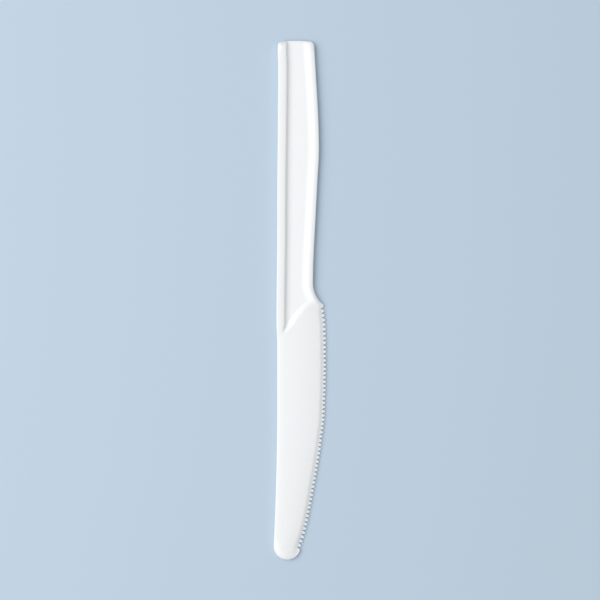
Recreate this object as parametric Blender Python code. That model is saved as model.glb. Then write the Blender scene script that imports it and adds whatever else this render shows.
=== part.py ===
"""A single-use plastic table knife, moulded in one piece.

It lies on its back. X runs from the spine to the cutting edge, Y from the tip to the butt, Z up.
Plan positions are held as (across, down): across from the line of the blade's spine, down from the butt.
"""

import math

import bmesh
import bpy
import numpy as np
from mathutils import Vector
from mathutils.geometry import delaunay_2d_cdt

# Plan, in metres.
OVERALL_LENGTH = 0.170
BUTT_WIDTH = 0.0120
GRIP_WIDTH = 0.0137
NECK_WIDTH = 0.0117
GRIP_STATION = 0.0350
NECK_STATION = 0.0790
CHOIL_RADIUS = 0.0098
HEEL_RISE = 0.0034
BLADE_BELLY = 0.00095
SPINE_SWEEP = 0.00116
SWEEP_START = 0.1180
RIM_PROUD = 0.00025
TIP_RADIUS = 0.0044
TIP_EDGE_ANGLE = math.radians(17)
END_CURVE_RADIUS = 0.047
END_CORNER_RADIUS = 0.0015

# Teeth of the cutting edge. Its notches deepen from DEEPER_FROM, a share of its length, to the tip.
NOTCH_COUNT = 57
NOTCH_DEPTH = 0.0011
TIP_NOTCH_DEPTH = 0.0014
DEEPER_FROM = 0.6
END_TOOTH_LENGTH = 0.0007
HEEL_TOOTH_LENGTH = 0.00125

# Heights above the back, in metres.
RIM_HEIGHT = 0.0030
CREST_HEIGHT = 0.0021
WEB_THICKNESS = 0.0016
SPINE_HEEL_THICKNESS = 0.0025
SPINE_TIP_THICKNESS = 0.0023
BEVEL_THICKNESS = 0.00095
EDGE_THICKNESS = 0.0006

# Grip recess and the ramp that ends it, in metres.
RIM_CROWN_INSET = 0.0014
RIM_FOOT_INSET = 0.0054
CREST_INSET = 0.0010
CREST_SLOPE_WIDTH = 0.0027
RIM_TAPER = 0.0002
RIM_HOOK = 0.0008
RAMP_RADIUS = 0.025
RAMP_WIDTH = 0.00225
RIM_RUNOUT = 0.0044
RIM_END_PAST_NECK = 0.0180
RECESS_CLOSING = 0.0040
RECESS_CLOSE_LENGTH = 0.0032
RAMP_START_INSET = 0.0020
RAMP_END_INSET = 0.0022
RAMP_END_PAST_NECK = 0.0072
RIDGE_PAST_NECK = 0.0050
RIDGE_FALL = 0.0035

# Rounding of the outer edges, in metres.
RIM_ROLL = 0.0014
CREST_ROLL = 0.0013
BUTT_ROLL = 0.0020
SPINE_ROLL = 0.0026
BEVEL_WIDTH = 0.0020
UNDER_ROLL = 0.0009

# Height of an outer edge, as a share of the height of the face beside it.
RIM_EDGE_SHARE = 0.97
SPINE_EDGE_SHARE = 0.92
CREST_EDGE_SHARE = 0.85
BUTT_EDGE_SHARE = 0.8

# Rise and fall at the recess's end, as shares of the ramp's width: how far before the arc the ramp
# begins, its power, and where the crest begins to fall and over what length.
RAMP_LEAD = 0.3
RAMP_POWER = 0.75
CREST_FALL_LEAD = 1.6
CREST_FALL_LENGTH = 1.8
# Power of the fall of the blade's face from the spine to the edge.
BLADE_POWER = 2.6
# Power of the curve from a tooth's tip to the root of the notch beside it.
NOTCH_POWER = 1.6

# Spacing of the mesh, in metres.
LONG_STEP = 0.0030
FINE_STEP = 0.0006
DENSE_STEP = 0.0002
LEAST_GAP = 0.00009
EDGE_SAMPLES = 1200
NEAREST_BLOCK = 2000
# Points closer than this, in millimetres, are one point to the triangulation.
SAME_POINT = 1e-6
# Most turn between two points of the tip and choil arcs, and of the butt's corners, in radians.
ARC_TURN = 0.1
CORNER_TURN = 0.4
# Points of the dense outline on each side that its edge settings are averaged over.
SMOOTHED_POINTS = 9

# (share of the handle's length, multiple of the rim's stand-out) of the handle's spine side.
HANDLE_SPINE = (
    (0.0, 0.52), (0.05, 0.68), (0.10, 1.20), (0.16, 1.28), (0.29, 0.96), (0.43, 0.60), (0.56, 0.20),
    (0.70, 0.0), (0.83, -0.08), (0.95, -0.52), (1.10, -1.0),
)
# (share of the way, share of the change in width) of the handle's cutting side.
BUTT_TO_GRIP = ((0.0, 0.0), (0.36, 0.44), (0.66, 0.79), (0.85, 0.94), (1.0, 1.0))
GRIP_TO_NECK = (
    (0.0, 0.0), (0.09, 0.06), (0.21, 0.22), (0.46, 0.50), (0.70, 0.78), (0.88, 0.955), (1.0, 1.0),
)
# (share of the cutting edge from heel to tip, share of its width above the tip end).
EDGE_PROFILE = (
    (0.0, 0.0), (0.03, 0.40), (0.07, 0.75), (0.12, 0.93), (0.20, 0.99), (0.27, 1.0),
)
EDGE_SWEEP = (
    (0.27, 1.0), (0.35, 0.985), (0.42, 0.960), (0.47, 0.940), (0.50, 0.908), (0.54, 0.858), (0.60, 0.782),
    (0.67, 0.680), (0.75, 0.550), (0.83, 0.412), (0.90, 0.276), (0.95, 0.150), (1.0, 0.0),
)
# (share of the way from crown to foot, share of the fall) of the rim's inner wall.
RIM_WALL = (
    (0.0, 0.0), (0.075, 0.006), (0.175, 0.024), (0.275, 0.06), (0.3375, 0.12), (0.3875, 0.29),
    (0.425, 0.523), (0.4625, 0.708), (0.50, 0.815), (0.55, 0.877), (0.625, 0.927), (0.725, 0.969),
    (0.85, 0.992), (1.0, 1.0),
)
# (share of the way from the heel's notch to the tip's, share of the length between them) of the notches.
NOTCH_PLACES = (
    (0.0, 0.0), (0.089, 0.095), (0.196, 0.2059), (0.357, 0.3642), (0.5, 0.5043), (0.68, 0.6808),
    (0.91, 0.9075), (1.0, 1.0),
)
# (share of the bevel's width from the edge, share of its rise).
BEVEL_RISE = ((0.0, 0.0), (0.35, 0.25), (0.6, 0.52), (0.8, 0.82), (1.0, 1.0))
# Share of a tooth's pitch, from its middle, of the outline points between two notches.
TOOTH_POINTS = (-0.36, -0.2, 0.0, 0.2, 0.36)
# Share of a rolled edge's width of the rows that follow it.
ROLL_ROWS = (0.08, 0.30, 0.62, 1.0)
# Share of the bevel's width from the edge of the rows that follow it.
BEVEL_ROWS = (0.8, 1.0)
# Share of the ramp's width, past the arc, of the rows along it and just past it.
RAMP_ROWS = (-0.3, -0.1, 0.05, 0.2, 0.35, 0.5, 0.7, 1.2)


def curve(knots, at):
    """Smooth value at each position of a line through knots, level beyond both of its ends."""
    spots = np.array([knot[0] for knot in knots], float)
    values = np.array([knot[1] for knot in knots], float)
    slopes = np.gradient(values, spots)
    at = np.clip(np.asarray(at, float), spots[0], spots[-1])
    low = np.clip(np.searchsorted(spots, at) - 1, 0, len(spots) - 2)
    span = spots[low + 1] - spots[low]
    t = (at - spots[low]) / span
    between = (values[low + 1] - values[low]) * (3 - 2 * t) * t * t
    lead = slopes[low] * span * t * (1 - t) ** 2
    trail = slopes[low + 1] * span * t * t * (1 - t)
    return values[low] + between + lead - trail


def ease(t):
    """0 below 0, 1 above 1 and smooth between."""
    t = np.clip(t, 0, 1)
    return t * t * (3 - 2 * t)


def spine_side(down):
    """Across position of the spine side. The handle's rim stands a little proud of the blade."""
    down = np.asarray(down, float)
    handle = RIM_PROUD * curve(HANDLE_SPINE, down / NECK_STATION)
    eased = ease((down - rim_end() + RIM_RUNOUT) / (1.6 * RIM_RUNOUT))
    reach = np.clip((down - SWEEP_START) / (OVERALL_LENGTH - TIP_RADIUS - SWEEP_START), 0, None)
    return handle * (1 - eased) - SPINE_SWEEP * reach**2


def handle_edge(down):
    """Across position of the handle's cutting side, from the butt to the neck."""
    down = np.asarray(down, float)
    first = curve(BUTT_TO_GRIP, down / GRIP_STATION)
    second = curve(GRIP_TO_NECK, (down - GRIP_STATION) / (NECK_STATION - GRIP_STATION))
    return (
        BUTT_WIDTH
        + (GRIP_WIDTH - BUTT_WIDTH) * first
        + (NECK_WIDTH - GRIP_WIDTH) * second
    )


def choil_turn():
    return math.acos(1 - HEEL_RISE / CHOIL_RADIUS)


def heel_station():
    return NECK_STATION + CHOIL_RADIUS * math.sin(choil_turn())


def rim_end():
    """Where the raised rim has come down to the blade."""
    return NECK_STATION + RIM_END_PAST_NECK


def tip_centre():
    down = OVERALL_LENGTH - TIP_RADIUS
    return float(spine_side(down)) + TIP_RADIUS, down


def blade_edge(share):
    """Plan points of the cutting edge over its teeth, at shares of the way from the heel to the tip."""
    across, down = tip_centre()
    end_across = across + TIP_RADIUS * math.cos(TIP_EDGE_ANGLE)
    end_down = down + TIP_RADIUS * math.sin(TIP_EDGE_ANGLE)
    heel = NECK_WIDTH + HEEL_RISE
    widest = heel + BLADE_BELLY
    share = np.asarray(share, float)
    rising = heel + BLADE_BELLY * curve(EDGE_PROFILE, share)
    falling = end_across + (widest - end_across) * curve(EDGE_SWEEP, share)
    at_widest = EDGE_SWEEP[0][0]
    return np.stack(
        [
            np.where(share < at_widest, rising, falling),
            heel_station() + (end_down - heel_station()) * share,
        ],
        axis=1,
    )


def arc(centre, radius, start, stop, step):
    """Points of an arc, angles taken from across towards the butt."""
    count = max(2, round(abs(stop - start) / step) + 1)
    angles = np.linspace(start, stop, count)
    return np.stack(
        [centre[0] + radius * np.cos(angles), centre[1] - radius * np.sin(angles)], axis=1
    )


def butt_corners():
    """Centres of the two corner arcs of the butt, and the middle of its end curve."""
    left = float(spine_side(END_CORNER_RADIUS))
    right = float(handle_edge(END_CORNER_RADIUS))
    middle = (left + right) / 2
    inner = END_CURVE_RADIUS - END_CORNER_RADIUS
    half = (right - left) / 2 - END_CORNER_RADIUS
    down = END_CURVE_RADIUS - math.sqrt(inner**2 - half**2)
    lean = math.asin(half / inner)
    return (left + END_CORNER_RADIUS, down), (right - END_CORNER_RADIUS, down), middle, lean


def stations(start, stop, step):
    return np.linspace(start, stop, max(2, round(abs(stop - start) / step) + 1))


def spine_stations(step, fine):
    """Stations of the spine side from the butt to the tip, close together at the butt and the ramp."""
    corner = butt_corners()[0][1]
    near = rim_end() - 3 * RIM_RUNOUT
    past = rim_end() + RIM_RUNOUT
    last = tip_centre()[1] - 0.02 * TIP_RADIUS
    parts = [
        stations(corner, corner + BUTT_ROLL, fine),
        stations(corner + BUTT_ROLL, near, step),
        stations(near, past, fine),
        stations(past, last, step),
    ]
    return np.unique(np.round(np.concatenate(parts), 7))


def outline_runs(step, fine):
    """The outline without teeth as named runs, in order from the butt down the spine side and back."""
    first, second, middle, lean = butt_corners()
    down = spine_stations(step, fine)
    spine = np.stack([spine_side(down), down], axis=1)
    centre = tip_centre()
    tip = arc(centre, TIP_RADIUS, math.pi, 2 * math.pi - TIP_EDGE_ANGLE, min(2 * ARC_TURN, step / TIP_RADIUS))
    edge = blade_edge(stations(1, 0, step / (OVERALL_LENGTH - heel_station())))
    choil = arc(
        (NECK_WIDTH + CHOIL_RADIUS, NECK_STATION), CHOIL_RADIUS, math.pi + choil_turn(), math.pi,
        min(ARC_TURN, step / CHOIL_RADIUS),
    )
    along = stations(NECK_STATION, second[1] + BUTT_ROLL, step)
    near_butt = stations(second[1] + BUTT_ROLL, second[1], fine)
    up = np.concatenate([along, near_butt[1:]])
    side = np.stack([handle_edge(up), up], axis=1)
    turn = min(CORNER_TURN, step / END_CORNER_RADIUS)
    near = arc(second, END_CORNER_RADIUS, 0, math.pi / 2 - lean, turn)
    end_centre = (middle, END_CURVE_RADIUS)
    end_step = min(fine, step) / END_CURVE_RADIUS
    end = arc(end_centre, END_CURVE_RADIUS, math.pi / 2 - lean, math.pi / 2 + lean, end_step)
    far = arc(first, END_CORNER_RADIUS, math.pi / 2 + lean, math.pi, turn)
    butt = np.concatenate([near, end, far])
    return [("spine", spine), ("tip", tip), ("edge", edge), ("choil", choil), ("side", side), ("butt", butt)]


def without_repeats(points, least):
    kept = [points[0]]
    for point in points[1:]:
        if np.hypot(*(point - kept[-1])) > least:
            kept.append(point)
    if np.hypot(*(kept[-1] - kept[0])) <= least:
        kept.pop()
    return np.array(kept)


def edge_settings(name, down):
    """Rolled edge on one run: top, underside, roll, under roll, power, and how far it is a bevel."""
    reach = np.clip((down - NECK_STATION) / (OVERALL_LENGTH - NECK_STATION), 0, 1)
    one = np.ones_like(down)
    crest_top = CREST_EDGE_SHARE * CREST_HEIGHT
    handle_under = 0.38 * CREST_HEIGHT
    if name == "spine":
        blade = ease((down - rim_end() + RIM_RUNOUT) / RIM_RUNOUT)
        spine = SPINE_HEEL_THICKNESS + (SPINE_TIP_THICKNESS - SPINE_HEEL_THICKNESS) * reach
        top = RIM_EDGE_SHARE * RIM_HEIGHT * (1 - blade) + SPINE_EDGE_SHARE * spine * blade
        under = handle_under + (0.22 * SPINE_TIP_THICKNESS - handle_under) * reach
        roll = RIM_ROLL + (SPINE_ROLL - RIM_ROLL) * blade
        return top, under, roll, UNDER_ROLL * (1 - 0.4 * reach), 0.5 * one, 0 * one
    if name == "choil":
        share = np.clip((down - NECK_STATION) / (heel_station() - NECK_STATION), 0, 1)
        top = crest_top + (1.3 * EDGE_THICKNESS - crest_top) * share
        under = 0.08 * CREST_HEIGHT * one
        return top, under, CREST_ROLL * one, 0.6 * UNDER_ROLL * one, 0.6 * one, 0 * one
    if name == "tip":
        tip = SPINE_TIP_THICKNESS
        values = (0.5 * tip, 0.12 * tip, SPINE_ROLL, 0.5 * UNDER_ROLL, 0.6, 0)
    elif name == "edge":
        values = (EDGE_THICKNESS, 0, BEVEL_WIDTH, 0.3 * UNDER_ROLL, 1, 1)
    elif name == "side":
        values = (crest_top, handle_under, CREST_ROLL, UNDER_ROLL, 0.5, 0)
    else:
        values = (BUTT_EDGE_SHARE * WEB_THICKNESS, handle_under, BUTT_ROLL, UNDER_ROLL, 0.75, 0)
    return tuple(value * one for value in values)


def smoothed(values, count):
    """Moving mean round the closed outline."""
    wide = np.concatenate([values[-count:], values, values[:count]])
    kernel = np.ones(2 * count + 1) / (2 * count + 1)
    return np.convolve(wide, kernel, "same")[count:-count]


def make_plan():
    """Dense outline with the edge settings at each of its points."""
    points, settings = [], []
    for name, run in outline_runs(DENSE_STEP, DENSE_STEP):
        points.append(run[:-1])
        settings.append(np.stack(edge_settings(name, run[:, 1]), axis=1)[:-1])
    points = np.concatenate(points)
    settings = np.concatenate(settings)
    settings = np.stack([smoothed(column, SMOOTHED_POINTS) for column in settings.T], axis=1)
    return points, settings


def nearest(points, plan):
    """Distance of each point to the closed dense outline, and the settings there."""
    outline, settings = plan
    following = np.roll(outline, -1, axis=0)
    along = following - outline
    length = np.maximum((along**2).sum(axis=1), 1e-18)
    distance = np.empty(len(points))
    values = np.empty((len(points), settings.shape[1]))
    for start in range(0, len(points), NEAREST_BLOCK):
        some = points[start:start + NEAREST_BLOCK]
        offset = some[:, None] - outline[None]
        t = np.clip((offset * along).sum(axis=2) / length, 0, 1)
        gap = np.hypot(*np.moveaxis(offset - t[..., None] * along, 2, 0))
        best = gap.argmin(axis=1)
        rows = np.arange(len(some))
        distance[start:start + NEAREST_BLOCK] = gap[rows, best]
        share = t[rows, best][:, None]
        after = (best + 1) % len(outline)
        mixed = settings[best] * (1 - share) + settings[after] * share
        values[start:start + NEAREST_BLOCK] = mixed
    return distance, values


def ramp_frame():
    """Centre of the arc that ends the recess, from the arc's two ends and its radius."""
    right = np.array([NECK_WIDTH - RAMP_END_INSET, NECK_STATION + RAMP_END_PAST_NECK])
    left = np.array([RAMP_START_INSET, rim_end()])
    middle = (left + right) / 2
    chord = right - left
    half = np.hypot(*chord) / 2
    normal = np.array([-chord[1], chord[0]]) / (2 * half)
    return middle + normal * math.sqrt(RAMP_RADIUS**2 - half**2)


def past_ramp(points):
    """Signed distance beyond the arc that ends the recess: above 0 on the blade's side."""
    centre = ramp_frame()
    down = np.minimum(points[:, 1], centre[1])
    return RAMP_RADIUS - np.hypot(points[:, 0] - centre[0], down - centre[1])


def side_distance(points):
    """Distance from the handle's cutting side and the hollow of the choil."""
    down = np.clip(points[:, 1], 0, NECK_STATION)
    flat = handle_edge(down) - points[:, 0]
    centre = (NECK_WIDTH + CHOIL_RADIUS, NECK_STATION)
    round_choil = np.hypot(points[:, 0] - centre[0], points[:, 1] - centre[1]) - CHOIL_RADIUS
    return np.where(points[:, 1] > NECK_STATION, round_choil, flat)


def rim_hook(down):
    """How far the rim's inner wall moves towards the spine: a slight taper, then a hook at its end."""
    taper = RIM_TAPER * down / NECK_STATION
    return taper + RIM_HOOK * ease((down - rim_end() + RIM_RUNOUT) / (0.8 * RIM_RUNOUT))


def blade_height(points):
    """Face of the blade, highest along the spine and falling faster and faster towards the edge."""
    down = points[:, 1]
    share = np.clip((down - heel_station()) / (OVERALL_LENGTH - TIP_RADIUS - heel_station()), 0, 1)
    spine = SPINE_HEEL_THICKNESS + (SPINE_TIP_THICKNESS - SPINE_HEEL_THICKNESS) * share
    width = blade_edge(share)[:, 0] - spine_side(down)
    t = np.clip((points[:, 0] - spine_side(down)) / width, 0, 1.1)
    return spine - (spine - BEVEL_THICKNESS) * t**BLADE_POWER


def top_height(points, plan):
    """Height of the front face at each plan point."""
    across, down = points[:, 0], points[:, 1]
    inset = across - spine_side(down)
    beyond = past_ramp(points)
    blade = blade_height(points)

    left = 1 - ease((down - rim_end() + RIM_RUNOUT) / RIM_RUNOUT)
    right = 1 - ease((beyond + CREST_FALL_LEAD * RAMP_WIDTH) / (CREST_FALL_LENGTH * RAMP_WIDTH))
    slope = ease((side_distance(points) - CREST_INSET) / CREST_SLOPE_WIDTH)
    ridge = (1 - slope) * (1 - ease((down - NECK_STATION - RIDGE_PAST_NECK) / RIDGE_FALL))
    right = right + (1 - right) * ridge
    part = ease((inset - 2 * RIM_CROWN_INSET) / (2 * RIM_CROWN_INSET))
    raised = left + (right - left) * part
    lean = ease(inset / NECK_WIDTH)
    land = blade + (RIM_HEIGHT + (CREST_HEIGHT - RIM_HEIGHT) * lean - blade) * raised

    hook = rim_hook(down)
    wall = curve(RIM_WALL, (inset + hook - RIM_CROWN_INSET) / (RIM_FOOT_INSET - RIM_CROWN_INSET))
    closing = ease((down - rim_end() + RECESS_CLOSING) / RECESS_CLOSE_LENGTH)
    ramp = np.clip((beyond + RAMP_LEAD * RAMP_WIDTH) / RAMP_WIDTH, 0, 1) ** RAMP_POWER
    recess = wall * slope * (1 - ease(ramp)) * (1 - closing)
    height = land + (WEB_THICKNESS - land) * recess

    distance, values = nearest(points, plan)
    top, _, roll, _, power, bevel = values.T
    t = np.clip(distance / roll, 0, 1)
    rolled = (1 - (1 - t) ** 2) ** power
    return top + (height - top) * (rolled + (curve(BEVEL_RISE, t) - rolled) * bevel)


def under_height(points, plan):
    """Height of the back face: flat, and rolled up towards the outer edges."""
    distance, values = nearest(points, plan)
    _, under, _, roll, _, _ = values.T
    t = np.clip(distance / roll, 0, 1)
    return under * (1 - np.sqrt(1 - (1 - t) ** 2))


def notch_roots(length):
    """Distances of the notches' roots along an edge of this length, from its tip end."""
    between = length - HEEL_TOOTH_LENGTH - END_TOOTH_LENGTH
    from_heel = curve(NOTCH_PLACES, np.linspace(1, 0, NOTCH_COUNT))
    return END_TOOTH_LENGTH + between * (1 - from_heel)


def notch_depth(reach):
    """Depth of the notches at a share of the way from the heel to the tip."""
    return NOTCH_DEPTH + (TIP_NOTCH_DEPTH - NOTCH_DEPTH) * ease((reach - DEEPER_FROM) / (1 - DEEPER_FROM))


def toothed_edge():
    """Plan points of the cutting edge from the tip end to the heel, with its notches."""
    dense = blade_edge(np.linspace(1, 0, EDGE_SAMPLES))
    steps = np.hypot(*np.diff(dense, axis=0).T)
    run = np.concatenate([[0], np.cumsum(steps)])
    roots = notch_roots(run[-1])
    shares = np.array(TOOTH_POINTS)
    before = shares[shares > 0]
    after = shares[shares <= 0]
    spots = [roots[0] + (before - 0.5) * (roots[1] - roots[0])]
    cuts = [before]
    for last, root in zip(roots[:-1], roots[1:]):
        spots.append([last])
        cuts.append([0.5])
        spots.append(root + (shares - 0.5) * (root - last))
        cuts.append(shares)
    spots.append([roots[-1]])
    cuts.append([0.5])
    spots.append(roots[-1] + (after + 0.5) * (roots[-1] - roots[-2]))
    cuts.append(after)
    spots = np.concatenate(spots)
    depths = notch_depth(1 - spots / run[-1]) * (2 * np.abs(np.concatenate(cuts))) ** NOTCH_POWER
    across = np.interp(spots, run, dense[:, 0])
    down = np.interp(spots, run, dense[:, 1])
    ahead = np.add(spots, DENSE_STEP / 2)
    behind = np.subtract(spots, DENSE_STEP / 2)
    tangent = np.stack([np.interp(ahead, run, row) - np.interp(behind, run, row) for row in dense.T], axis=1)
    tangent /= np.hypot(*tangent.T)[:, None]
    # The run goes towards the heel, so the solid is on the spine's side of it.
    inward = np.stack([tangent[:, 1], -tangent[:, 0]], axis=1)
    points = np.stack([across, down], axis=1) + inward * depths[:, None]
    return np.concatenate([dense[:1], points, dense[-1:]])


def outline_points(toothed):
    runs = []
    for name, run in outline_runs(LONG_STEP, FINE_STEP):
        if name == "edge" and toothed:
            run = toothed_edge()
        runs.append(run)
    return without_repeats(np.concatenate(runs), LEAST_GAP)


def offset_line(run, distance):
    """A run of plan points moved inwards, square to itself."""
    ahead = np.concatenate([run[1:], run[-1:]])
    behind = np.concatenate([run[:1], run[:-1]])
    tangent = ahead - behind
    tangent /= np.hypot(*tangent.T)[:, None]
    inward = np.stack([tangent[:, 1], -tangent[:, 0]], axis=1)
    return run + inward * np.reshape(distance, (-1, 1))


def front_lines():
    """Lines that the front face's mesh follows: rolled edges, rim, recess, ramp and blade."""
    runs = dict(outline_runs(LONG_STEP, FINE_STEP))
    lines = []
    for share in ROLL_ROWS:
        rolled = np.where(runs["spine"][:, 1] < rim_end(), RIM_ROLL, SPINE_ROLL)
        lines.append(("edge", offset_line(runs["spine"], share * rolled)))
        lines.append(("edge", offset_line(runs["tip"], share * SPINE_ROLL)))
        lines.append(("edge", offset_line(runs["side"], share * CREST_ROLL)))
        lines.append(("edge", offset_line(runs["choil"], share * CREST_ROLL)))
        lines.append(("edge", offset_line(runs["butt"], share * BUTT_ROLL)))
    for share in BEVEL_ROWS:
        lines.append(("edge", offset_line(blade_edge(stations(1, 0, 1 / NOTCH_COUNT)), share * BEVEL_WIDTH)))
    down = spine_stations(LONG_STEP, FINE_STEP)
    for share, _ in RIM_WALL[1:]:
        inset = RIM_CROWN_INSET + share * (RIM_FOOT_INSET - RIM_CROWN_INSET)
        hook = rim_hook(down)
        lines.append(("recess", np.stack([spine_side(down) + inset - hook, down], axis=1)))
    side = np.concatenate([runs["choil"], runs["side"][1:]])
    for share in (0.28, 0.6, 1.0):
        lines.append(("recess", offset_line(side, CREST_INSET + share * CREST_SLOPE_WIDTH)))
    centre = ramp_frame()
    for share in RAMP_ROWS:
        row = arc(
            centre, RAMP_RADIUS - share * RAMP_WIDTH, 0.55 * math.pi, 1.02 * math.pi, FINE_STEP / RAMP_RADIUS,
        )
        lines.append(("ramp", row))
    for share in (0.27, 0.42, 0.57, 0.72, 0.86):
        down = stations(NECK_STATION, OVERALL_LENGTH - TIP_RADIUS, LONG_STEP)
        reach = np.clip((down - heel_station()) / (tip_centre()[1] - heel_station()), 0, 1)
        width = blade_edge(reach)[:, 0] - spine_side(down)
        lines.append(("blade", np.stack([spine_side(down) + share * width, down], axis=1)))
    return lines


def wanted(kind, points, distance):
    """Which points of a line lie where its kind of line belongs."""
    beyond = past_ramp(points)
    if kind == "edge":
        return distance > LEAST_GAP
    if kind == "recess":
        in_recess = (beyond < 0.2 * RAMP_WIDTH) | (points[:, 0] < 2.5 * RIM_CROWN_INSET)
        return (distance > LEAST_GAP) & in_recess & (points[:, 1] < rim_end() + RIM_RUNOUT)
    if kind == "ramp":
        return (distance > 1.1 * CREST_INSET) & (points[:, 1] < rim_end() + RIM_RUNOUT)
    return (beyond > 0.8 * RAMP_WIDTH) & (distance > 1.1 * BEVEL_WIDTH)


def inside(points, polygon):
    """Whether each point is inside the closed polygon."""
    result = np.zeros(len(points), bool)
    x, y = points.T
    for (x0, y0), (x1, y1) in zip(polygon, np.roll(polygon, -1, axis=0)):
        crossing = (y0 > y) != (y1 > y)
        if y0 != y1:
            result ^= crossing & (x < x0 + (y - y0) * (x1 - x0) / (y1 - y0))
    return result


def add_lines(outline, lines, plan, least):
    """Outline and inner points for the triangulation, and the edges along each line."""
    points = [tuple(point) for point in outline]
    taken = np.array(points)
    edges = []
    for kind, line in lines:
        distance, _ = nearest(line, plan)
        use = wanted(kind, line, distance) & inside(line, outline)
        last = None
        for point, ok in zip(line, use):
            if not ok:
                last = None
                continue
            gaps = np.hypot(*(taken - point).T)
            if gaps.min() < least:
                last = None
                continue
            taken = np.vstack([taken, point])
            if last is not None:
                edges.append((last, len(taken) - 1))
            last = len(taken) - 1
    return taken, edges


def triangles(outline, points, edges):
    """Triangles over the plan, with the points that they use."""
    loop = list(range(len(outline)))
    found = delaunay_2d_cdt([Vector(point * 1000) for point in points], edges, [loop], 1, SAME_POINT)
    plan_points = np.array([tuple(point) for point in found[0]]) / 1000
    return plan_points, [list(face) for face in found[2]], [list(origin) for origin in found[3]]


def height_mesh(bm, plan, outline, lines, height, upward):
    """Adds one face of the knife and returns its vertices along the outline, in the outline's order."""
    points, edges = add_lines(outline, lines, plan, LEAST_GAP)
    flat, faces, origins = triangles(outline, points, edges)
    rim = {}
    for index, origin in enumerate(origins):
        for source in origin:
            if source < len(outline):
                rim[source] = index
    heights = height(flat, plan)
    verts = [bm.verts.new((point[0], -point[1], z)) for point, z in zip(flat, heights)]
    for face in faces:
        corners = [verts[index] for index in face]
        a, b, c = (corner.co for corner in corners[:3])
        if ((b - a).cross(c - a).z > 0) != upward:
            corners.reverse()
        bm.faces.new(corners)
    return [verts[rim[index]] for index in range(len(outline))]


def under_lines():
    """Rows of the rolled underside."""
    runs = dict(outline_runs(LONG_STEP, FINE_STEP))
    lines = []
    for share in (0.3, 1.0):
        for name in ("spine", "tip", "choil", "side", "butt"):
            settings = edge_settings(name, runs[name][:, 1])
            lines.append(("edge", offset_line(runs[name], share * settings[3])))
    return lines


def make_knife(collection, material):
    plan = make_plan()
    outline = outline_points(True)
    bm = bmesh.new()
    front = height_mesh(bm, plan, outline, front_lines(), top_height, True)
    back = height_mesh(bm, plan, outline, under_lines(), under_height, False)
    for index in range(len(outline)):
        after = (index + 1) % len(outline)
        bm.faces.new([back[index], back[after], front[after], front[index]])
    bmesh.ops.recalc_face_normals(bm, faces=bm.faces)
    loose = [vert for vert in bm.verts if not vert.link_faces]
    bmesh.ops.delete(bm, geom=loose, context="VERTS")
    middle = (min(vert.co.x for vert in bm.verts) + max(vert.co.x for vert in bm.verts)) / 2
    bmesh.ops.translate(bm, verts=bm.verts, vec=(-middle, OVERALL_LENGTH / 2, 0))
    mesh = bpy.data.meshes.new("knife")
    bm.to_mesh(mesh)
    bm.free()
    knife = bpy.data.objects.new("knife", mesh)
    knife.data.materials.append(material)
    collection.objects.link(knife)
    return knife


def plastic():
    material = bpy.data.materials.new("white_plastic")
    material.use_nodes = True
    shader = material.node_tree.nodes["Principled BSDF"]
    shader.inputs["Base Color"].default_value = (0.86, 0.86, 0.84, 1)
    shader.inputs["Roughness"].default_value = 0.35
    shader.inputs["Metallic"].default_value = 0
    return material


def main():
    for item in list(bpy.data.objects):
        bpy.data.objects.remove(item)
    collection = bpy.data.collections.new("plastic_knife")
    bpy.context.scene.collection.children.link(collection)
    make_knife(collection, plastic())


main()
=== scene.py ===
"""Looks of a single-use plastic table knife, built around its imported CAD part.

Plan points are (across, down): across from the line of the spine side, down from the butt.
"""

import math

import bmesh
import bpy
import numpy as np
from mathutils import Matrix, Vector
from mathutils.geometry import delaunay_2d_cdt
from mathutils.kdtree import KDTree


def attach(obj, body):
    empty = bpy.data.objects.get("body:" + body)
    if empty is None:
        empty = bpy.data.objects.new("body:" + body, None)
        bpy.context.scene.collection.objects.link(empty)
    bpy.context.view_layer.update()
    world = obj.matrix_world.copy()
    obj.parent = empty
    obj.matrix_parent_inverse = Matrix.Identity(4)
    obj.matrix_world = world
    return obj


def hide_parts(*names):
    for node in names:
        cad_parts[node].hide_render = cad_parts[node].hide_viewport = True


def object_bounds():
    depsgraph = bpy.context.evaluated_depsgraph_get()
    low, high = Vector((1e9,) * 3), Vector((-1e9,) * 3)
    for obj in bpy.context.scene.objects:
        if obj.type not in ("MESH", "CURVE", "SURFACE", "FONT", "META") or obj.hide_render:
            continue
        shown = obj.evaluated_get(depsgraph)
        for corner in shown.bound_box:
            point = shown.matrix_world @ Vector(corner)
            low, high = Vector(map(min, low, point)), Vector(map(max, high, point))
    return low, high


# Plan, in metres. The sizes from here down to BEVEL_RISE are the same as in the part.
OVERALL_LENGTH = 0.170
BUTT_WIDTH = 0.0120
GRIP_WIDTH = 0.0137
NECK_WIDTH = 0.0117
GRIP_STATION = 0.0350
NECK_STATION = 0.0790
CHOIL_RADIUS = 0.0098
HEEL_RISE = 0.0034
BLADE_BELLY = 0.00095
SPINE_SWEEP = 0.00116
SWEEP_START = 0.1180
RIM_PROUD = 0.00025
TIP_RADIUS = 0.0044
TIP_EDGE_ANGLE = math.radians(17)
END_CURVE_RADIUS = 0.047
END_CORNER_RADIUS = 0.0015

# Teeth of the cutting edge. Its notches deepen from DEEPER_FROM, a share of its length, to the tip.
NOTCH_COUNT = 57
NOTCH_DEPTH = 0.0011
TIP_NOTCH_DEPTH = 0.0014
DEEPER_FROM = 0.6
END_TOOTH_LENGTH = 0.0007
HEEL_TOOTH_LENGTH = 0.00125

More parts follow.
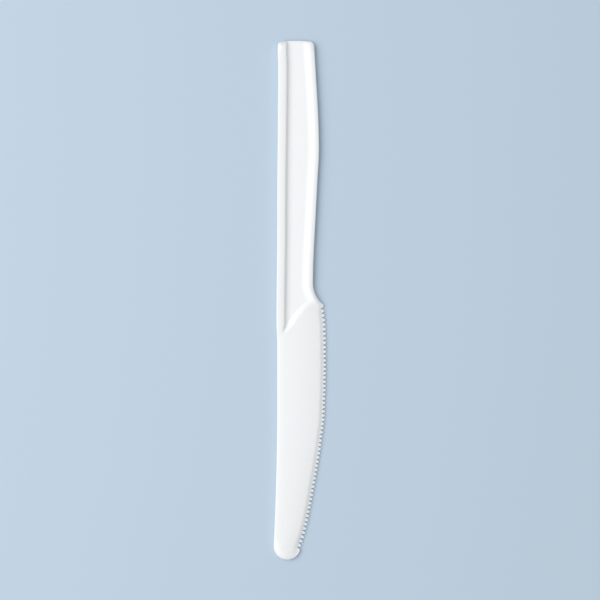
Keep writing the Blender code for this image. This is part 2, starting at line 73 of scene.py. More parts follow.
# Heights above the back, in metres.
RIM_HEIGHT = 0.0030
CREST_HEIGHT = 0.0021
WEB_THICKNESS = 0.0016
SPINE_HEEL_THICKNESS = 0.0025
SPINE_TIP_THICKNESS = 0.0023
BEVEL_THICKNESS = 0.00095
EDGE_THICKNESS = 0.0006

# Grip recess and the ramp that ends it, in metres.
RIM_CROWN_INSET = 0.0014
RIM_FOOT_INSET = 0.0054
CREST_INSET = 0.0010
CREST_SLOPE_WIDTH = 0.0027
RIM_TAPER = 0.0002
RIM_HOOK = 0.0008
RAMP_RADIUS = 0.025
RAMP_WIDTH = 0.00225
RIM_RUNOUT = 0.0044
RIM_END_PAST_NECK = 0.0180
RECESS_CLOSING = 0.0040
RECESS_CLOSE_LENGTH = 0.0032
RAMP_START_INSET = 0.0020
RAMP_END_INSET = 0.0022
RAMP_END_PAST_NECK = 0.0072
RIDGE_PAST_NECK = 0.0050
RIDGE_FALL = 0.0035

# Rounding of the outer edges, in metres.
RIM_ROLL = 0.0014
CREST_ROLL = 0.0013
BUTT_ROLL = 0.0020
SPINE_ROLL = 0.0026
BEVEL_WIDTH = 0.0020
UNDER_ROLL = 0.0009
CHOIL_UNDER_ROLL = 0.6 * UNDER_ROLL
TIP_UNDER_ROLL = 0.5 * UNDER_ROLL
BEVEL_UNDER_ROLL = 0.3 * UNDER_ROLL
# Share of its width that the roll under the spine side loses on the way from the neck to the tip.
UNDER_ROLL_LOSS = 0.4

# Height of an outer edge, as a share of the height of the face beside it.
RIM_EDGE_SHARE = 0.97
SPINE_EDGE_SHARE = 0.92
CREST_EDGE_SHARE = 0.85
BUTT_EDGE_SHARE = 0.8
TIP_EDGE_SHARE = 0.5
# Height of the choil's edge at the heel, as a share of the cutting edge's thickness.
HEEL_EDGE_SHARE = 1.3
# Rise of the underside at an outer edge: the first two are shares of the crest's height, the others of
# the spine's thickness at the tip.
HANDLE_UNDER_SHARE = 0.38
CHOIL_UNDER_SHARE = 0.08
SPINE_UNDER_SHARE = 0.22
TIP_UNDER_SHARE = 0.12
# Powers of the curve from the top of an outer edge to the face. The spine has the side's power, and the
# tip has the choil's.
SIDE_POWER = 0.5
CHOIL_POWER = 0.6
BUTT_POWER = 0.75

# Shares of the rim's runout over which its outer side draws in to the blade and its inner wall hooks.
DRAW_IN_SHARE = 1.6
HOOK_SHARE = 0.8
# Rise and fall at the recess's end, as shares of the ramp's width: how far before the arc the ramp
# begins, its power, and where the crest begins to fall and over what length.
RAMP_LEAD = 0.3
RAMP_POWER = 0.75
CREST_FALL_LEAD = 1.6
CREST_FALL_LENGTH = 1.8
# Power of the fall of the blade's face from the spine to the edge.
BLADE_POWER = 2.6
# Most of the blade's width that its face is worked out over; 1 is the line over the teeth.
BLADE_REACH = 1.1
# Power of the curve from a tooth's tip to the root of the notch beside it.
NOTCH_POWER = 1.6
# Share of the tip's radius left between the last point of the spine side and the tip's arc.
TIP_GAP_SHARE = 0.02

# (share of the handle's length, multiple of the rim's stand-out) of the handle's spine side.
HANDLE_SPINE = (
    (0.0, 0.52), (0.05, 0.68), (0.10, 1.20), (0.16, 1.28), (0.29, 0.96), (0.43, 0.60), (0.56, 0.20),
    (0.70, 0.0), (0.83, -0.08), (0.95, -0.52), (1.10, -1.0),
)
# (share of the way, share of the change in width) of the handle's cutting side.
BUTT_TO_GRIP = ((0.0, 0.0), (0.36, 0.44), (0.66, 0.79), (0.85, 0.94), (1.0, 1.0))
GRIP_TO_NECK = (
    (0.0, 0.0), (0.09, 0.06), (0.21, 0.22), (0.46, 0.50), (0.70, 0.78), (0.88, 0.955), (1.0, 1.0),
)
# (share of the cutting edge from heel to tip, share of the belly gained) up to the widest place.
EDGE_PROFILE = ((0.0, 0.0), (0.03, 0.40), (0.07, 0.75), (0.12, 0.93), (0.20, 0.99), (0.27, 1.0))
# (share of the cutting edge from heel to tip, share of its width above the tip end) from there on.
EDGE_SWEEP = (
    (0.27, 1.0), (0.35, 0.985), (0.42, 0.960), (0.47, 0.940), (0.50, 0.908), (0.54, 0.858),
    (0.60, 0.782), (0.67, 0.680), (0.75, 0.550), (0.83, 0.412), (0.90, 0.276), (0.95, 0.150), (1.0, 0.0),
)
# (share of the way from crown to foot, share of the fall) of the rim's inner wall.
RIM_WALL = (
    (0.0, 0.0), (0.075, 0.006), (0.175, 0.024), (0.275, 0.06), (0.3375, 0.12), (0.3875, 0.29),
    (0.425, 0.523), (0.4625, 0.708), (0.50, 0.815), (0.55, 0.877), (0.625, 0.927), (0.725, 0.969),
    (0.85, 0.992), (1.0, 1.0),
)
# (share of the way from the heel's notch to the tip's, share of the length between them) of the notches.
NOTCH_PLACES = (
    (0.0, 0.0), (0.089, 0.095), (0.196, 0.2059), (0.357, 0.3642), (0.5, 0.5043), (0.68, 0.6808),
    (0.91, 0.9075), (1.0, 1.0),
)
# (share of the bevel's width from the edge, share of its rise).
BEVEL_RISE = ((0.0, 0.0), (0.35, 0.25), (0.6, 0.52), (0.8, 0.82), (1.0, 1.0))

# Mesh spacing, in metres: outline, fine and coarse fields, and the rows along the rolled edges.
OUTLINE_STEP = 0.00025
FINE_FIELD = 0.00017
COARSE_FIELD = 0.00036
BACK_FINE_FIELD = 2 * FINE_FIELD
BACK_COARSE_FIELD = 4 * COARSE_FIELD
ROLL_ROWS = (0.00004, 0.00012, 0.00024, 0.00040, 0.00060)
BACK_ROLL_ROWS = ROLL_ROWS[1::2]
LEAST_GAP = 0.00003
# Share of a grid's step between its rows, so that its triangles are nearly equal-sided.
GRID_ROW_SHARE = 0.866
# Space kept clear round a point, as shares of a row's distance from the outline and of a field's step.
ROW_CLEAR_SHARE = 0.6
FIELD_CLEAR_SHARE = 0.62
# Where a row comes nearer to the outline than this share of its distance, it is left out.
ROW_KEEP_SHARE = 0.9
# Finely meshed parts: the inset of the rim's inner wall, the ramp from this share of its width before
# the arc, and the outer band of the back.
FINE_WALL_START = 0.0012
FINE_WALL_END = 0.0048
FINE_RAMP_LEAD = 0.8
BACK_FINE_BAND = 0.0012
# Shares of a tooth's pitch, from its middle, of the outline points between two notches.
TOOTH_POINTS = tuple(np.linspace(-0.44, 0.44, 11))
# Points that the cutting edge is measured with, and how far its direction is taken on each side.
EDGE_SAMPLES = 4000
TANGENT_REACH = 0.0001
# Points of the dense outline on each side that its edge settings are averaged over.
SMOOTHED_POINTS = 9
# The triangulation is given millimetres, and points closer than this are one point to it.
MILLIMETRES_IN_METRE = 1000
SAME_POINT = 1e-7
# Least square of a segment's length, so that none divides by zero.
TINY_SQUARE = 1e-18
# Edges that turn by more than this are shaded sharp.
SHARP_ANGLE = math.radians(38)

# Camera straight above, with the film's width in millimetres and the rest in metres. FRAME_WIDTH is
# how much of the ground the picture shows, and the picture's middle is a little off the knife's.
FILM_WIDTH = 36
CAMERA_HEIGHT = 1.0
CAMERA_SHIFT = 0.0001
FRAME_WIDTH = 0.19684
# The floor, in metres, and how far it lies under the knife.
FLOOR_HALF_SIDE = 3
FLOOR_GAP = 0.00002


def curve(knots, at):
    """Smooth value at each position of a line through knots, level beyond both of its ends."""
    spots = np.array([knot[0] for knot in knots], float)
    values = np.array([knot[1] for knot in knots], float)
    slopes = np.gradient(values, spots)
    at = np.clip(np.asarray(at, float), spots[0], spots[-1])
    low = np.clip(np.searchsorted(spots, at) - 1, 0, len(spots) - 2)
    span = spots[low + 1] - spots[low]
    t = (at - spots[low]) / span
    between = (values[low + 1] - values[low]) * (3 - 2 * t) * t * t
    lead = slopes[low] * span * t * (1 - t) ** 2
    trail = slopes[low + 1] * span * t * t * (1 - t)
    return values[low] + between + lead - trail


def ease(t):
    """0 below 0, 1 above 1 and smooth between."""
    t = np.clip(t, 0, 1)
    return t * t * (3 - 2 * t)


def choil_turn():
    """Angle of the choil's arc from the neck to the heel."""
    return math.acos(1 - HEEL_RISE / CHOIL_RADIUS)


def heel_station():
    """Where the choil ends and the cutting edge begins."""
    return NECK_STATION + CHOIL_RADIUS * math.sin(choil_turn())


def rim_end():
    """Where the raised rim has come down to the blade."""
    return NECK_STATION + RIM_END_PAST_NECK


def spine_side(down):
    """Across position of the spine side. The handle's rim stands a little proud of the blade."""
    down = np.asarray(down, float)
    handle = RIM_PROUD * curve(HANDLE_SPINE, down / NECK_STATION)
    eased = ease((down - rim_end() + RIM_RUNOUT) / (DRAW_IN_SHARE * RIM_RUNOUT))
    reach = np.clip((down - SWEEP_START) / (OVERALL_LENGTH - TIP_RADIUS - SWEEP_START), 0, None)
    return handle * (1 - eased) - SPINE_SWEEP * reach**2


def handle_edge(down):
    """Across position of the handle's cutting side, from the butt to the neck."""
    down = np.asarray(down, float)
    first = curve(BUTT_TO_GRIP, down / GRIP_STATION)
    second = curve(GRIP_TO_NECK, (down - GRIP_STATION) / (NECK_STATION - GRIP_STATION))
    return BUTT_WIDTH + (GRIP_WIDTH - BUTT_WIDTH) * first + (NECK_WIDTH - GRIP_WIDTH) * second


def tip_centre():
    """Centre of the tip's arc, which touches the spine side."""
    down = OVERALL_LENGTH - TIP_RADIUS
    return float(spine_side(down)) + TIP_RADIUS, down


def blade_edge(share):
    """Plan points of the cutting edge over its teeth, at shares of the way from the heel to the tip."""
    across, down = tip_centre()
    end_across = across + TIP_RADIUS * math.cos(TIP_EDGE_ANGLE)
    end_down = down + TIP_RADIUS * math.sin(TIP_EDGE_ANGLE)
    heel = NECK_WIDTH + HEEL_RISE
    widest = heel + BLADE_BELLY
    share = np.asarray(share, float)
    rising = heel + BLADE_BELLY * curve(EDGE_PROFILE, share)
    falling = end_across + (widest - end_across) * curve(EDGE_SWEEP, share)
    places = heel_station() + (end_down - heel_station()) * share
    return np.stack([np.where(share < EDGE_SWEEP[0][0], rising, falling), places], axis=1)


def arc(centre, radius, start, stop, step):
    """Points of an arc, angles taken from across towards the butt."""
    count = max(2, round(abs(stop - start) / step) + 1)
    angles = np.linspace(start, stop, count)
    return np.stack([centre[0] + radius * np.cos(angles), centre[1] - radius * np.sin(angles)], axis=1)


def butt_corners():
    """Centres of the butt's two corner arcs, the middle of its end curve and half that curve's angle."""
    left = float(spine_side(END_CORNER_RADIUS))
    right = float(handle_edge(END_CORNER_RADIUS))
    middle = (left + right) / 2
    inner = END_CURVE_RADIUS - END_CORNER_RADIUS
    half = (right - left) / 2 - END_CORNER_RADIUS
    down = END_CURVE_RADIUS - math.sqrt(inner**2 - half**2)
    lean = math.asin(half / inner)
    return (left + END_CORNER_RADIUS, down), (right - END_CORNER_RADIUS, down), middle, lean


def stations(start, stop, step):
    """Evenly spaced values from start to stop, about a step apart."""
    return np.linspace(start, stop, max(2, round(abs(stop - start) / step) + 1))


def outline_runs(step):
    """The outline without teeth as named runs, in order from the butt down the spine side and back."""
    first, second, middle, lean = butt_corners()
    centre = tip_centre()
    down = stations(first[1], centre[1] - TIP_GAP_SHARE * TIP_RADIUS, step)
    spine = np.stack([spine_side(down), down], axis=1)
    tip = arc(centre, TIP_RADIUS, math.pi, 2 * math.pi - TIP_EDGE_ANGLE, step / TIP_RADIUS)
    edge = blade_edge(stations(1, 0, step / (OVERALL_LENGTH - heel_station())))
    hollow = (NECK_WIDTH + CHOIL_RADIUS, NECK_STATION)
    choil = arc(hollow, CHOIL_RADIUS, math.pi + choil_turn(), math.pi, step / CHOIL_RADIUS)
    up = stations(NECK_STATION, second[1], step)
    side = np.stack([handle_edge(up), up], axis=1)
    turn = step / END_CORNER_RADIUS
    end_centre = (middle, END_CURVE_RADIUS)
    end_turn = step / END_CURVE_RADIUS
    near = arc(second, END_CORNER_RADIUS, 0, math.pi / 2 - lean, turn)
    end = arc(end_centre, END_CURVE_RADIUS, math.pi / 2 - lean, math.pi / 2 + lean, end_turn)
    far = arc(first, END_CORNER_RADIUS, math.pi / 2 + lean, math.pi, turn)
    butt = np.concatenate([near, end, far])
    return [
        ("spine", spine), ("tip", tip), ("edge", edge), ("choil", choil), ("side", side), ("butt", butt),
    ]


def without_repeats(points, least):
    """The closed line without points that lie no further than least from the one before."""
    kept = [points[0]]
    for point in points[1:]:
        if np.hypot(*(point - kept[-1])) > least:
            kept.append(point)
    if np.hypot(*(kept[-1] - kept[0])) <= least:
        kept.pop()
    return np.array(kept)


def edge_settings(name, down):
    """Rolled edge on one run: top, underside, roll, under roll, power, and how far it is a bevel."""
    reach = np.clip((down - NECK_STATION) / (OVERALL_LENGTH - NECK_STATION), 0, 1)
    crest_top = CREST_EDGE_SHARE * CREST_HEIGHT
    handle_under = HANDLE_UNDER_SHARE * CREST_HEIGHT
    if name == "spine":
        blade = ease((down - rim_end() + RIM_RUNOUT) / RIM_RUNOUT)
        spine = SPINE_HEEL_THICKNESS + (SPINE_TIP_THICKNESS - SPINE_HEEL_THICKNESS) * reach
        top = RIM_EDGE_SHARE * RIM_HEIGHT * (1 - blade) + SPINE_EDGE_SHARE * spine * blade
        under = handle_under + (SPINE_UNDER_SHARE * SPINE_TIP_THICKNESS - handle_under) * reach
        roll = RIM_ROLL + (SPINE_ROLL - RIM_ROLL) * blade
        values = (top, under, roll, UNDER_ROLL * (1 - UNDER_ROLL_LOSS * reach), SIDE_POWER, 0)
    elif name == "choil":
        share = np.clip((down - NECK_STATION) / (heel_station() - NECK_STATION), 0, 1)
        top = crest_top + (HEEL_EDGE_SHARE * EDGE_THICKNESS - crest_top) * share
        under = CHOIL_UNDER_SHARE * CREST_HEIGHT
        values = (top, under, CREST_ROLL, CHOIL_UNDER_ROLL, CHOIL_POWER, 0)
    elif name == "tip":
        top = TIP_EDGE_SHARE * SPINE_TIP_THICKNESS
        under = TIP_UNDER_SHARE * SPINE_TIP_THICKNESS
        values = (top, under, SPINE_ROLL, TIP_UNDER_ROLL, CHOIL_POWER, 0)
    elif name == "edge":
        values = (EDGE_THICKNESS, 0, BEVEL_WIDTH, BEVEL_UNDER_ROLL, 1, 1)
    elif name == "side":
        values = (crest_top, handle_under, CREST_ROLL, UNDER_ROLL, SIDE_POWER, 0)
    else:
        values = (BUTT_EDGE_SHARE * WEB_THICKNESS, handle_under, BUTT_ROLL, UNDER_ROLL, BUTT_POWER, 0)
    return tuple(value * np.ones_like(down) for value in values)


def smoothed(values, count):
    """Moving mean round the closed outline."""
    wide = np.concatenate([values[-count:], values, values[:count]])
    kernel = np.ones(2 * count + 1) / (2 * count + 1)
    return np.convolve(wide, kernel, "same")[count:-count]


def make_plan(runs):
    """Dense outline with the edge settings at each of its points."""
    points = np.concatenate([run[:-1] for _, run in runs])
    settings = [np.stack(edge_settings(name, run[:, 1]), axis=1)[:-1] for name, run in runs]
    columns = np.concatenate(settings).T
    return points, np.stack([smoothed(column, SMOOTHED_POINTS) for column in columns], axis=1)


def search_tree(points):
    """Search tree of plan points."""
    tree = KDTree(len(points))
    for index, (x, y) in enumerate(points):
        tree.insert((x, y, 0), index)
    tree.balance()
    return tree


def nearest(points, plan):
    """Distance of each point to the closed dense outline, and the settings there."""
    outline, settings = plan
    tree = search_tree(outline)
    found = np.array([tree.find((x, y, 0))[1] for x, y in points])
    best_gap = np.full(len(points), np.inf)
    values = np.zeros((len(points), settings.shape[1]))
    for shift in (-1, 0):
        start = (found + shift) % len(outline)
        after = (start + 1) % len(outline)
        along = outline[after] - outline[start]
        offset = points - outline[start]
        square = np.maximum((along**2).sum(axis=1), TINY_SQUARE)
        t = np.clip((offset * along).sum(axis=1) / square, 0, 1)
        gap = np.hypot(*(offset - t[:, None] * along).T)
        mixed = settings[start] * (1 - t[:, None]) + settings[after] * t[:, None]
        nearer = gap < best_gap
        values[nearer] = mixed[nearer]
        best_gap = np.minimum(gap, best_gap)
    return best_gap, values


def ramp_centre():
    """Centre of the arc that ends the recess, through the ramp's ends at the rim and at the choil."""
    right = np.array([NECK_WIDTH - RAMP_END_INSET, NECK_STATION + RAMP_END_PAST_NECK])
    left = np.array([RAMP_START_INSET, rim_end()])
    middle = (left + right) / 2
    chord = right - left
    half = np.hypot(*chord) / 2
    normal = np.array([-chord[1], chord[0]]) / (2 * half)
    return middle + normal * math.sqrt(RAMP_RADIUS**2 - half**2)


def past_ramp(points):
    """Signed distance beyond the arc that ends the recess."""
    centre = ramp_centre()
    down = np.minimum(points[:, 1], centre[1])
    return RAMP_RADIUS - np.hypot(points[:, 0] - centre[0], down - centre[1])


def side_distance(points):
    """Distance from the handle's cutting side and the hollow of the choil."""
    flat = handle_edge(np.clip(points[:, 1], 0, NECK_STATION)) - points[:, 0]
    centre = (NECK_WIDTH + CHOIL_RADIUS, NECK_STATION)
    hollow = np.hypot(points[:, 0] - centre[0], points[:, 1] - centre[1]) - CHOIL_RADIUS
    return np.where(points[:, 1] > NECK_STATION, hollow, flat)


def rim_hook(down):
    """How far the rim's inner wall moves to the spine: a taper, then a hook at the recess's end."""
    taper = RIM_TAPER * down / NECK_STATION
    return taper + RIM_HOOK * ease((down - rim_end() + RIM_RUNOUT) / (HOOK_SHARE * RIM_RUNOUT))


def blade_height(points):
    """Height of the blade's face, as if it ran on under the handle and had no rolled edges."""
    down = points[:, 1]
    length = OVERALL_LENGTH - TIP_RADIUS - heel_station()
    share = np.clip((down - heel_station()) / length, 0, 1)
    spine = SPINE_HEEL_THICKNESS + (SPINE_TIP_THICKNESS - SPINE_HEEL_THICKNESS) * share
    width = blade_edge(share)[:, 0] - spine_side(down)
    t = np.clip((points[:, 0] - spine_side(down)) / width, 0, BLADE_REACH)
    return spine - (spine - BEVEL_THICKNESS) * t**BLADE_POWER


def top_height(points, plan):
    """Height of the front face at each plan point."""
    across, down = points.T
    inset = across - spine_side(down)
    beyond = past_ramp(points)
    blade = blade_height(points)

    left = 1 - ease((down - rim_end() + RIM_RUNOUT) / RIM_RUNOUT)
    right = 1 - ease((beyond + CREST_FALL_LEAD * RAMP_WIDTH) / (CREST_FALL_LENGTH * RAMP_WIDTH))
    slope = ease((side_distance(points) - CREST_INSET) / CREST_SLOPE_WIDTH)
    ridge = (1 - slope) * (1 - ease((down - NECK_STATION - RIDGE_PAST_NECK) / RIDGE_FALL))
    right = right + (1 - right) * ridge
    handover = 2 * RIM_CROWN_INSET
    raised = left + (right - left) * ease((inset - handover) / handover)
    lean = ease(inset / NECK_WIDTH)
    land = blade + (RIM_HEIGHT + (CREST_HEIGHT - RIM_HEIGHT) * lean - blade) * raised

    hook = rim_hook(down)
    wall = curve(RIM_WALL, (inset + hook - RIM_CROWN_INSET) / (RIM_FOOT_INSET - RIM_CROWN_INSET))
    closing = ease((down - rim_end() + RECESS_CLOSING) / RECESS_CLOSE_LENGTH)
    ramp = np.clip((beyond + RAMP_LEAD * RAMP_WIDTH) / RAMP_WIDTH, 0, 1) ** RAMP_POWER
    recess = wall * slope * (1 - ease(ramp)) * (1 - closing)
    height = land + (WEB_THICKNESS - land) * recess

    distance, values = nearest(points, plan)
    top, _, roll, _, power, bevel = values.T
    t = np.clip(distance / roll, 0, 1)
    rolled = (1 - (1 - t) ** 2) ** power
    return top + (height - top) * (rolled + (curve(BEVEL_RISE, t) - rolled) * bevel)


def under_height(points, plan):
    """Height of the back face: flat, and rolled up towards the outer edges."""
    distance, values = nearest(points, plan)
    _, under, _, roll, _, _ = values.T
    t = np.clip(distance / roll, 0, 1)
    return under * (1 - np.sqrt(1 - (1 - t) ** 2))


def notch_roots(length):
    """Distances of the notches' roots along an edge of this length, from its tip end."""
    between = length - HEEL_TOOTH_LENGTH - END_TOOTH_LENGTH
    from_heel = curve(NOTCH_PLACES, np.linspace(1, 0, NOTCH_COUNT))
    return END_TOOTH_LENGTH + between * (1 - from_heel)


def notch_depth(reach):
    """Depth of the notches at a share of the way from the heel to the tip."""
    deeper = ease((reach - DEEPER_FROM) / (1 - DEEPER_FROM))
    return NOTCH_DEPTH + (TIP_NOTCH_DEPTH - NOTCH_DEPTH) * deeper


def inward(ahead, behind):
    """Unit vectors square to a line, into the knife, from the points ahead and behind on it."""
    tangent = ahead - behind
    tangent /= np.hypot(*tangent.T)[:, None]
    return np.stack([tangent[:, 1], -tangent[:, 0]], axis=1)


def toothed_edge():
    """Plan points of the cutting edge from the tip end to the heel, with its notches."""
    dense = blade_edge(np.linspace(1, 0, EDGE_SAMPLES))
    run = np.concatenate([[0], np.cumsum(np.hypot(*np.diff(dense, axis=0).T))])
    roots = notch_roots(run[-1])
    shares = np.array(TOOTH_POINTS)
    before = shares[shares > 0]
    after = shares[shares <= 0]
    spots = [roots[0] + (before - 0.5) * (roots[1] - roots[0])]
    cuts = [before]
    for last, root in zip(roots[:-1], roots[1:]):
        spots.append([last])
        cuts.append([0.5])
        spots.append(root + (shares - 0.5) * (root - last))
        cuts.append(shares)
    spots.append([roots[-1]])
    cuts.append([0.5])
    spots.append(roots[-1] + (after + 0.5) * (roots[-1] - roots[-2]))
    cuts.append(after)
    spots = np.concatenate(spots)
    depths = notch_depth(1 - spots / run[-1]) * (2 * np.abs(np.concatenate(cuts))) ** NOTCH_POWER
    place, ahead, behind = (
        np.stack([np.interp(spots + shift, run, dense[:, axis]) for axis in (0, 1)], axis=1)
        for shift in (0, TANGENT_REACH, -TANGENT_REACH)
    )
    return np.concatenate([dense[:1], place + inward(ahead, behind) * depths[:, None], dense[-1:]])


def offset_line(run, distance):
    """The run moved into the knife by a distance."""
    ahead = np.concatenate([run[1:], run[-1:]])
    behind = np.concatenate([run[:1], run[:-1]])
    return run + inward(ahead, behind) * distance


def inside(points, polygon):
    """Which points lie inside a polygon, by counting the sides to their right."""
    result = np.zeros(len(points), bool)
    x, y = points.T
    for (x0, y0), (x1, y1) in zip(polygon, np.roll(polygon, -1, axis=0)):
        if y0 != y1:
            crossing = (y0 > y) != (y1 > y)
            result ^= crossing & (x < x0 + (y - y0) * (x1 - x0) / (y1 - y0))
    return result


def field(step):
    """Points of a triangular grid over the knife's plan."""
    down = np.arange(0, OVERALL_LENGTH, step * GRID_ROW_SHARE)
    across = np.arange(-2 * SPINE_SWEEP, NECK_WIDTH + HEEL_RISE + 2 * BLADE_BELLY, step)
    rows = []
    for index, y in enumerate(down):
        shift = (index % 2) * step / 2
        rows.append(np.stack([across + shift, np.full(len(across), y)], axis=1))
    return np.concatenate(rows)


def add_field(points, extra, least):
    """The points, and those extra ones that are further than least from all of them."""
    tree = search_tree(points)
    clear = [tree.find((x, y, 0))[2] > least for x, y in extra]
    return np.concatenate([points, extra[clear]])


def spread(outline, runs, plan, rows, fine, coarse, is_fine):
    """Plan points: the outline, rows along its rolled edges, and a fine and a coarse field."""
    points = outline
    for row in rows:
        for name, run in runs:
            if name == "edge":
                continue
            line = offset_line(run, row)
            near, _ = nearest(line, plan)
            line = line[(near > ROW_KEEP_SHARE * row) & inside(line, outline)]
            points = add_field(points, line, ROW_CLEAR_SHARE * row)
    for step, want in ((fine, is_fine), (coarse, None)):
        grid = field(step)
        grid = grid[inside(grid, outline)]
        if want is not None:
            grid = grid[want(grid, nearest(grid, plan)[0])]
        points = add_field(points, grid, FIELD_CLEAR_SHARE * step)
    return points


def front_is_fine(points, distance):
    """Where the front needs the fine field: near the outline, on the rim's inner wall and on the ramp."""
    inset = points[:, 0] - spine_side(points[:, 1])
    beyond = past_ramp(points)
    wall = (inset > FINE_WALL_START) & (inset < FINE_WALL_END) & (points[:, 1] < rim_end() + RIM_RUNOUT)
    ramp = (beyond > -FINE_RAMP_LEAD * RAMP_WIDTH) & (beyond < RAMP_WIDTH)
    return (distance < BEVEL_WIDTH) | wall | ramp


def back_is_fine(_, distance):
    """Where the back needs the fine field: near the outline."""
    return distance < BACK_FINE_BAND


def add_face(bm, outline, points, heights, upward):
    """Adds one face of the knife and returns its vertices along the outline, in the outline's order."""
    flat = [Vector((x * MILLIMETRES_IN_METRE, y * MILLIMETRES_IN_METRE)) for x, y in points]
    border = [list(range(len(outline)))]
    _, _, faces, _, _, _ = delaunay_2d_cdt(flat, [], border, 1, SAME_POINT)
    verts = [bm.verts.new((x, -y, z)) for (x, y), z in zip(points, heights)]
    for face in faces:
        corners = [verts[index] for index in face]
        a, b, c = (corner.co for corner in corners)
        if ((b - a).cross(c - a).z > 0) != upward:
            corners.reverse()
        bm.faces.new(corners)
    return verts[:len(outline)]


def join_loops(bm, under, top):
    """Side wall of quads between two closed loops of as many vertices each."""
    for index in range(len(top)):
        after = (index + 1) % len(top)
        bm.faces.new([under[index], under[after], top[after], top[index]])


def fit_to_box(bm, box):
    """Moves and scales the mesh along each axis so that its box is the given one."""
    places = np.array([vert.co[:] for vert in bm.verts])
    low, high = places.min(axis=0), places.max(axis=0)
    box_low, box_high = np.array(box)
    scale = (box_high - box_low) / (high - low)
    for vert in bm.verts:
        vert.co = Vector((np.array(vert.co) - low) * scale + box_low)


def make_knife(cad_box):
    """The knife's mesh, fitted to the CAD part's box."""
    runs = outline_runs(OUTLINE_STEP)
    plan = make_plan(runs)
    outline = np.concatenate([toothed_edge() if name == "edge" else run for name, run in runs])
    outline = without_repeats(outline, LEAST_GAP)
    bm = bmesh.new()
    front = spread(outline, runs, plan, ROLL_ROWS, FINE_FIELD, COARSE_FIELD, front_is_fine)
    top = add_face(bm, outline, front, top_height(front, plan), True)
    back = spread(outline, runs, plan, BACK_ROLL_ROWS, BACK_FINE_FIELD, BACK_COARSE_FIELD, back_is_fine)
    under = add_face(bm, outline, back, under_height(back, plan), False)
    join_loops(bm, under, top)
    bmesh.ops.recalc_face_normals(bm, faces=bm.faces)
    bmesh.ops.delete(bm, geom=[vert for vert in bm.verts if not vert.link_faces], context="VERTS")
    fit_to_box(bm, cad_box)
    mesh = bpy.data.meshes.new("plastic_knife")
    bm.to_mesh(mesh)
    bm.free()
    mesh.polygons.foreach_set("use_smooth", [True] * len(mesh.polygons))
    mesh.set_sharp_from_angle(angle=SHARP_ANGLE)
    knife = bpy.data.objects.new("plastic_knife", mesh)
    bpy.context.scene.collection.objects.link(knife)
    return knife


def set_inputs(node, values):
    """Sets a node's inputs by their names."""
    for name, value in values.items():
        node.inputs[name].default_value = value


def plastic():
    """White moulded polystyrene: semi-gloss, with a faint moulded ripple and fine handling marks."""
    material = bpy.data.materials.new("white_plastic_look")
    material.use_nodes = True
    tree = material.node_tree
    nodes, links = tree.nodes, tree.links
    shader = nodes["Principled BSDF"]
    set_inputs(shader, {"IOR": 1.55, "Subsurface Weight": 0.12, "Subsurface Scale": 1.0})
    set_inputs(shader, {"Subsurface Radius": (0.0016, 0.0013, 0.0009)})
    place = nodes.new("ShaderNodeTexCoord")

    broad = nodes.new("ShaderNodeTexNoise")
    set_inputs(broad, {"Scale": 90, "Detail": 3})
    tint = nodes.new("ShaderNodeMix")
    tint.data_type = "RGBA"
    set_inputs(tint, {"A": (0.865, 0.868, 0.868, 1), "B": (0.885, 0.888, 0.886, 1)})
    links.new(place.outputs["Object"], broad.inputs["Vector"])
    links.new(broad.outputs["Fac"], tint.inputs["Factor"])
    links.new(tint.outputs["Result"], shader.inputs["Base Color"])

    fine = nodes.new("ShaderNodeTexNoise")
    set_inputs(fine, {"Scale": 2600, "Detail": 2})
    links.new(place.outputs["Object"], fine.inputs["Vector"])
    gloss = nodes.new("ShaderNodeMapRange")
    set_inputs(gloss, {"To Min": 0.42, "To Max": 0.54})
    links.new(fine.outputs["Fac"], gloss.inputs["Value"])
    links.new(gloss.outputs["Result"], shader.inputs["Roughness"])

    bump = nodes.new("ShaderNodeBump")
    set_inputs(bump, {"Strength": 0.25, "Distance": 0.00002})
    links.new(fine.outputs["Fac"], bump.inputs["Height"])
    ripple = nodes.new("ShaderNodeBump")
    set_inputs(ripple, {"Strength": 0.3, "Distance": 0.00006})
    links.new(broad.outputs["Fac"], ripple.inputs["Height"])
    links.new(bump.outputs["Normal"], ripple.inputs["Normal"])
    links.new(ripple.outputs["Normal"], shader.inputs["Normal"])
    return material


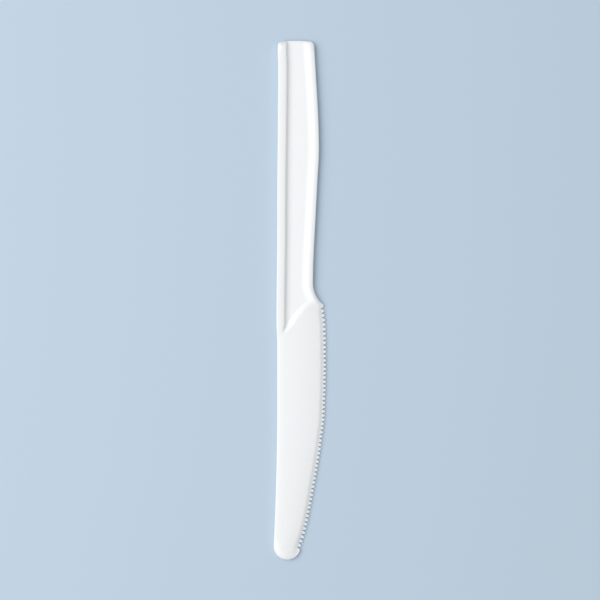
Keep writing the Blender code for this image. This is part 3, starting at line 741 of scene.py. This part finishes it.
def floor():
    """Plain pale floor, just under the knife's back."""
    bm = bmesh.new()
    bmesh.ops.create_grid(bm, x_segments=1, y_segments=1, size=FLOOR_HALF_SIDE)
    mesh = bpy.data.meshes.new("floor")
    bm.to_mesh(mesh)
    bm.free()
    item = bpy.data.objects.new("floor", mesh)
    bpy.context.scene.collection.objects.link(item)
    item.location.z = -FLOOR_GAP
    material = bpy.data.materials.new("floor_paint")
    material.use_nodes = True
    shader = material.node_tree.nodes["Principled BSDF"]
    set_inputs(shader, {"Base Color": (0.50, 0.60, 0.70, 1), "Roughness": 0.9, "Specular IOR Level": 0.2})
    mesh.materials.append(material)
    return item


def aim(item, target):
    """Turns a lamp so that it shines at the target."""
    item.rotation_euler = (Vector(target) - item.location).to_track_quat("-Z", "Y").to_euler()


def lamps():
    """One large soft lamp on the spine's side, and an even pale sky."""
    key_data = bpy.data.lights.new("key", "AREA")
    key_data.shape = "DISK"
    key_data.size = 1.2
    key_data.energy = 8.55
    key = bpy.data.objects.new("key", key_data)
    bpy.context.scene.collection.objects.link(key)
    key.location = (-0.62, 0.06, 0.80)
    aim(key, (0, 0, 0))
    world = bpy.data.worlds.new("studio")
    bpy.context.scene.world = world
    world.use_nodes = True
    set_inputs(world.node_tree.nodes["Background"], {"Color": (0.95, 0.98, 1.0, 1), "Strength": 0.56})


def camera():
    """Camera straight above the knife, looking down."""
    data = bpy.data.cameras.new("camera")
    data.sensor_width = FILM_WIDTH
    data.lens = FILM_WIDTH * CAMERA_HEIGHT / FRAME_WIDTH
    data.clip_start = 0.01
    item = bpy.data.objects.new("camera", data)
    bpy.context.scene.collection.objects.link(item)
    item.location = (0, CAMERA_SHIFT, CAMERA_HEIGHT)
    bpy.context.scene.camera = item


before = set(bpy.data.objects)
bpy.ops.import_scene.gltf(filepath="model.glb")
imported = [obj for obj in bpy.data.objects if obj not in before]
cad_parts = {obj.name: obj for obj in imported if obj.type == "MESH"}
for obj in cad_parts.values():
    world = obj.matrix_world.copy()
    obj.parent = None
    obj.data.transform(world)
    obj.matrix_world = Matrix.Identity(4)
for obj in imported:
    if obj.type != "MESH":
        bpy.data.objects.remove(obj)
cad_box = [[float(value) for value in corner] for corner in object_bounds()]
bpy.context.scene.view_settings.view_transform = "Standard"

knife = make_knife(cad_box)
knife.data.materials.append(plastic())
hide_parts("knife")
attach(knife, "root")
floor()
lamps()
camera()
